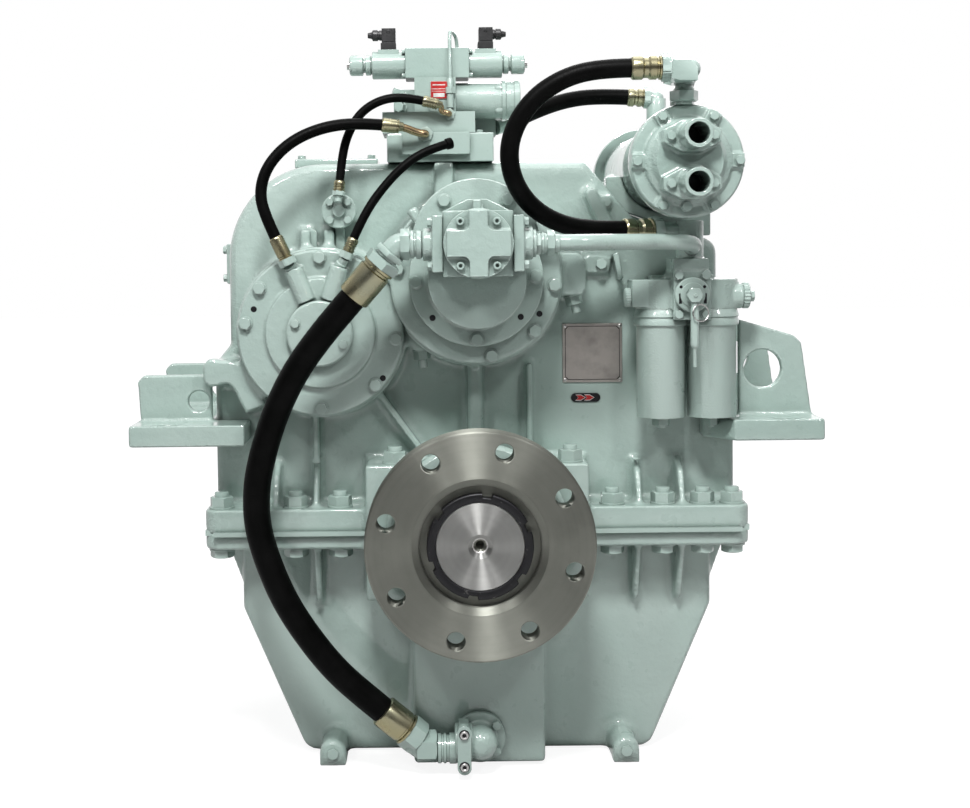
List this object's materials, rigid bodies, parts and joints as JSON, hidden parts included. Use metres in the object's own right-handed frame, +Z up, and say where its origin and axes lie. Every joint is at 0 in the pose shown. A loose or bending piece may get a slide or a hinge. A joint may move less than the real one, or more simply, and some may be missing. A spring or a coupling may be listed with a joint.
{
  "type": "marine gearbox",
  "caption": "Marine reversing gearbox with twin-clutch gear train, output flange, gear pump, oil cooler, duplex filter and control valve.",
  "frame": {"origin": "centre of the output flange's mating face, on the output shaft's axis", "axes": "+Z up, +Y from the output flange through the gearbox towards the engine, +X to the right seen from the output end"},
  "size_m": [0.972, 0.708, 1.0505],
  "materials": {
    "grey_green_enamel": "glossy thick enamel over cast metal",
    "turned_steel": "turned, bright",
    "blackened_steel": "black oxide",
    "black_rubber": "matt cloth-marked rubber cover",
    "zinc_plated_steel": "yellow zinc plate",
    "machined_steel": "ground",
    "filter_paper": "pleated element",
    "black_plastic": "moulded",
    "plate_metal": "brushed blank plate"
  },
  "bodies": {
    "housing": {"bearing_covers": "grey_green_enamel", "blank_plates": "plate_metal", "changeover_plate": "grey_green_enamel", "control_fittings": "zinc_plated_steel", "control_hose_long": "black_rubber", "control_hose_middle": "black_rubber", "control_hose_short": "black_rubber", "control_valve": "grey_green_enamel", "cooler_front_head": "grey_green_enamel", "cooler_hose_front": "black_rubber", "cooler_hose_rear": "black_rubber", "cooler_rear_head": "grey_green_enamel", "cooler_saddles": "grey_green_enamel", "cooler_shell": "grey_green_enamel", "cooler_tubes": "machined_steel", "counter_cap": "grey_green_enamel", "counter_cover": "grey_green_enamel", "cover_bolts": "grey_green_enamel", "delivery_pipe": "grey_green_enamel", "directional_valve": "grey_green_enamel", "filter_bowls": "grey_green_enamel", "filter_elements": "filter_paper", "filter_head": "grey_green_enamel", "hand_hole_covers": "grey_green_enamel", "hose_ferrules": "zinc_plated_steel", "input_cover": "grey_green_enamel", "input_retainer": "grey_green_enamel", "joint_bolts": "grey_green_enamel", "joint_nuts": "grey_green_enamel", "lower_casing": "grey_green_enamel", "mounting_brackets": "grey_green_enamel", "pipe_fittings": "grey_green_enamel", "pump_body": "grey_green_enamel", "pump_end_cover": "grey_green_enamel", "pump_port_flanges": "grey_green_enamel", "rotary_cover": "grey_green_enamel", "shaft_bearings": "machined_steel", "small_bolts": "grey_green_enamel", "solenoids": "grey_green_enamel", "suction_clamp": "grey_green_enamel", "suction_elbow": "grey_green_enamel", "suction_hose": "black_rubber", "upper_casing": "grey_green_enamel", "valve_connectors": "black_plastic", "valve_manifold": "grey_green_enamel"},
    "output_train": {"output_flange": "turned_steel", "output_shaft": "turned_steel", "output_gear": "machined_steel", "lock_nut": "blackened_steel"},
    "input_train": {"input_shaft": "machined_steel", "input_gear": "machined_steel", "input_coupling": "machined_steel"},
    "counter_train": {"counter_shaft": "machined_steel", "counter_gear": "machined_steel"},
    "input_pinion_body": {"input_pinion": "machined_steel"},
    "counter_pinion_body": {"counter_pinion": "machined_steel"},
    "pump_drive": {"pump_drive_gear": "machined_steel"},
    "pump_idler": {"pump_idler_gear": "machined_steel"},
    "changeover_handle": {"changeover_lever": "grey_green_enamel"},
    "spool": {"valve_spool": "machined_steel"}
  },
  "joints": [
    {"name": "output_spin", "type": "hinge", "parent": "housing", "child": "output_train", "pos_m": [0, 0.3, 0], "axis": [0, 1, 0], "continuous": true},
    {"name": "input_pinion_spin", "type": "hinge", "parent": "housing", "child": "input_pinion_body", "pos_m": [0, 0.3, 0.355], "axis": [0, 1, 0], "continuous": true},
    {"name": "counter_pinion_spin", "type": "hinge", "parent": "housing", "child": "counter_pinion_body", "pos_m": [-0.21592, 0.3, 0.28178], "axis": [0, 1, 0], "continuous": true},
    {"name": "input_spin", "type": "hinge", "parent": "housing", "child": "input_train", "pos_m": [0, 0.3, 0.355], "axis": [0, 1, 0], "continuous": true},
    {"name": "counter_spin", "type": "hinge", "parent": "housing", "child": "counter_train", "pos_m": [-0.21592, 0.3, 0.28178], "axis": [0, 1, 0], "continuous": true},
    {"name": "pump_drive_spin", "type": "hinge", "parent": "housing", "child": "pump_drive", "pos_m": [0, 0.3, 0.387], "axis": [0, 1, 0], "continuous": true},
    {"name": "pump_idler_spin", "type": "hinge", "parent": "housing", "child": "pump_idler", "pos_m": [0, 0.3, 0.419], "axis": [0, 1, 0], "continuous": true},
    {"name": "changeover_swing", "type": "hinge", "parent": "housing", "child": "changeover_handle", "pos_m": [0.296, 0.06, 0.33], "axis": [0, 1, 0], "range_deg": [-90, 90]},
    {"name": "spool_shift", "type": "slide", "parent": "housing", "child": "spool", "axis": [1, 0, 0], "range_m": [-0.003, 0.003], "stiffness_N_per_m": 4000}
  ],
  "couplings": [
    {"joint": "input_pinion_spin", "follows": "output_spin", "ratio": -2.9444},
    {"joint": "counter_pinion_spin", "follows": "output_spin", "ratio": -2.9444},
    {"joint": "counter_spin", "follows": "input_spin", "ratio": -1},
    {"joint": "pump_drive_spin", "follows": "input_spin", "ratio": -1},
    {"joint": "pump_idler_spin", "follows": "input_spin", "ratio": 1}
  ]
}
